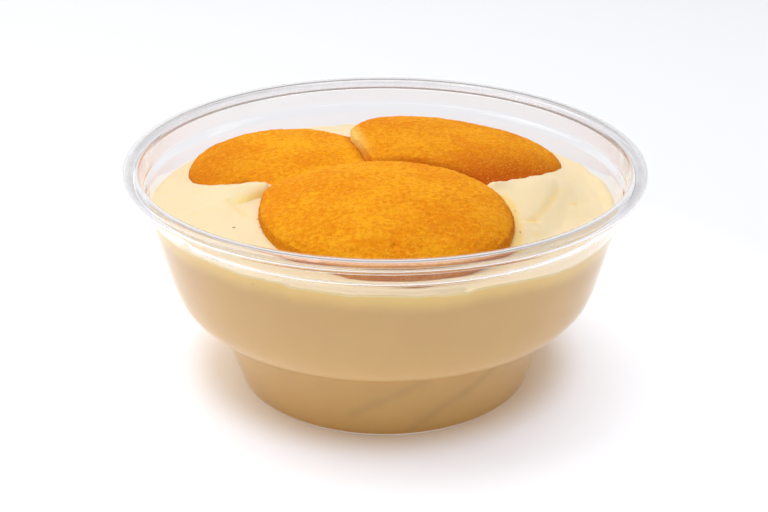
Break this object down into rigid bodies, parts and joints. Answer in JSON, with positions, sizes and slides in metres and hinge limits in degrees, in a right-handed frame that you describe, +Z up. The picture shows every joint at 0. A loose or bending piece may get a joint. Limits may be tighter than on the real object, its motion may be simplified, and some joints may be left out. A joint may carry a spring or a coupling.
{
  "type": "banana pudding in a dessert cup",
  "caption": "Clear round dessert cup with a rolled rim and a stepped foot, filled with pale yellow pudding and topped with golden vanilla wafers pressed into it.",
  "frame": {"origin": "middle of the underside of the cup's foot, on the surface that it stands on", "axes": "+Z up through the middle of the cup, -Y towards the viewer, where the front wafer lies, +X to the viewer's right"},
  "size_m": [0.095, 0.095, 0.0431],
  "materials": {
    "clear_cup": "clear, smooth and glossy thin-walled plastic",
    "pudding": "smooth pale yellow pudding with a soft sheen",
    "wafer": "golden baked biscuit, finely pitted, with a dry grain"
  },
  "bodies": {
    "root": {"cup": "clear_cup", "pudding": "pudding", "wafer_front": "wafer", "wafer_right": "wafer", "wafer_left": "wafer"}
  },
  "joints": []
}
